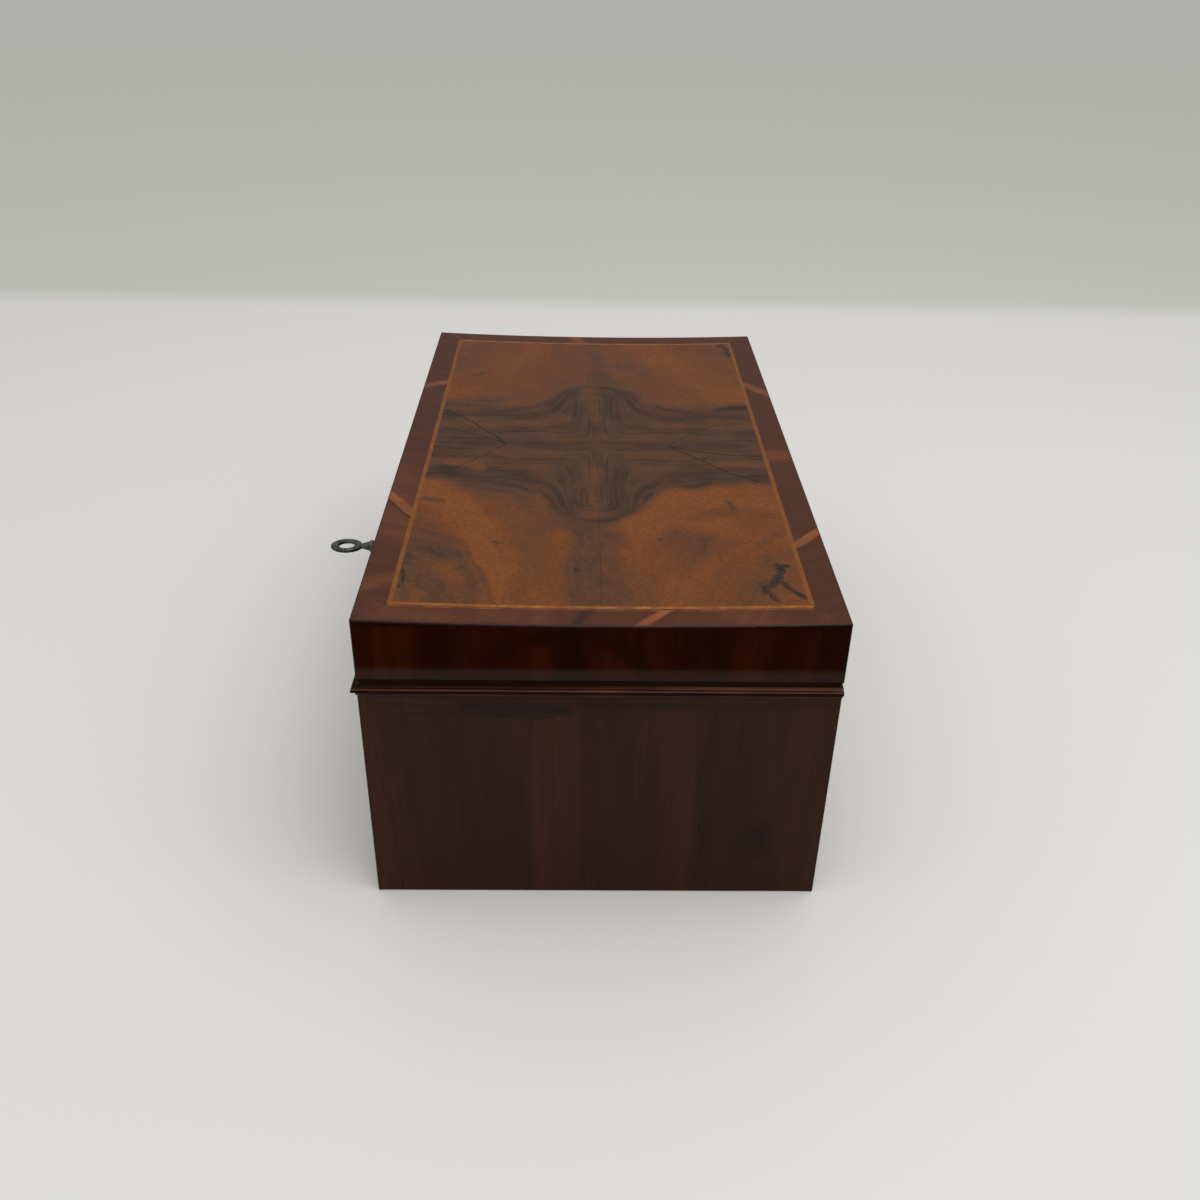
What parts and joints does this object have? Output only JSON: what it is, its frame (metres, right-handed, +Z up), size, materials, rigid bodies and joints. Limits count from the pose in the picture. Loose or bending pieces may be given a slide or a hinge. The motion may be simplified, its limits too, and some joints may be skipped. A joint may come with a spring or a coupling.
{
  "type": "desk letter box",
  "caption": "Rectangular veneered wooden casket with a crossbanded, string-inlaid hinged lid, thin moulding below the lid, and a small ring-bow key in a sliding-bolt lock.",
  "frame": {"origin": "middle of the flat underside, where the box stands", "axes": "+X along the length, +Y from the front with the key to the hinged back, +Z up"},
  "size_m": [0.3544, 0.2505, 0.147],
  "materials": {
    "case_veneer": "dark walnut veneer under french polish",
    "lid_veneer": "walnut veneer with upright grain under french polish",
    "top_veneer": "quarter-matched figured walnut under french polish",
    "crossbanding": "reddish crossbanding under french polish",
    "stringing": "light stringing under aged polish",
    "moulding": "polished fruitwood moulding",
    "carcass": "bare aged softwood",
    "brass": "aged brass",
    "steel": "dull steel",
    "key_steel": "worn dark steel"
  },
  "bodies": {
    "case": {"front_board": "carcass", "back_board": "carcass", "left_board": "carcass", "right_board": "carcass", "bottom_board": "carcass", "front_veneer": "case_veneer", "back_veneer": "case_veneer", "left_veneer": "case_veneer", "right_veneer": "case_veneer", "front_moulding": "moulding", "left_moulding": "moulding", "right_moulding": "moulding", "lock_backplate": "brass", "lock_case": "brass", "lock_studs": "steel", "lock_drill_pin": "steel", "bolt_spring": "steel", "lock_screws": "steel", "keyhole_liner": "brass", "hinge_leaf_lower_left": "brass", "hinge_leaf_lower_right": "brass", "hinge_pins": "steel", "hinge_screws_lower": "brass"},
    "lid": {"lid_panel": "carcass", "lid_front_rail": "carcass", "lid_back_rail": "carcass", "lid_left_rail": "carcass", "lid_right_rail": "carcass", "lid_front_veneer": "lid_veneer", "lid_back_veneer": "lid_veneer", "lid_left_veneer": "lid_veneer", "lid_right_veneer": "lid_veneer", "top_leaf_front_left": "top_veneer", "top_leaf_front_right": "top_veneer", "top_leaf_back_left": "top_veneer", "top_leaf_back_right": "top_veneer", "stringing_front": "stringing", "stringing_back": "stringing", "stringing_left": "stringing", "stringing_right": "stringing", "banding_front": "crossbanding", "banding_back": "crossbanding", "banding_left": "crossbanding", "banding_right": "crossbanding", "hinge_leaf_upper_left": "brass", "hinge_leaf_upper_right": "brass", "hinge_screws_upper": "brass", "link_plate": "brass", "link_staples": "brass", "link_screws": "steel"},
    "bolt": {"lock_bolt": "brass"},
    "key": {"key": "key_steel"}
  },
  "joints": [
    {"name": "lid_hinge", "type": "hinge", "parent": "case", "child": "lid", "pos_m": [0, 0.1025, 0.11785], "axis": [-1, 0, 0], "range_deg": [0, 100]},
    {"name": "key_turn", "type": "hinge", "parent": "case", "child": "key", "pos_m": [0, -0.1, 0.084], "axis": [0, 1, 0], "range_deg": [0, 180]},
    {"name": "bolt_slide", "type": "slide", "parent": "case", "child": "bolt", "axis": [1, 0, 0], "range_m": [0, 0.006]}
  ],
  "couplings": [
    {"joint": "key_turn", "follows": "bolt_slide", "rad_per_m": 523.59}
  ]
}
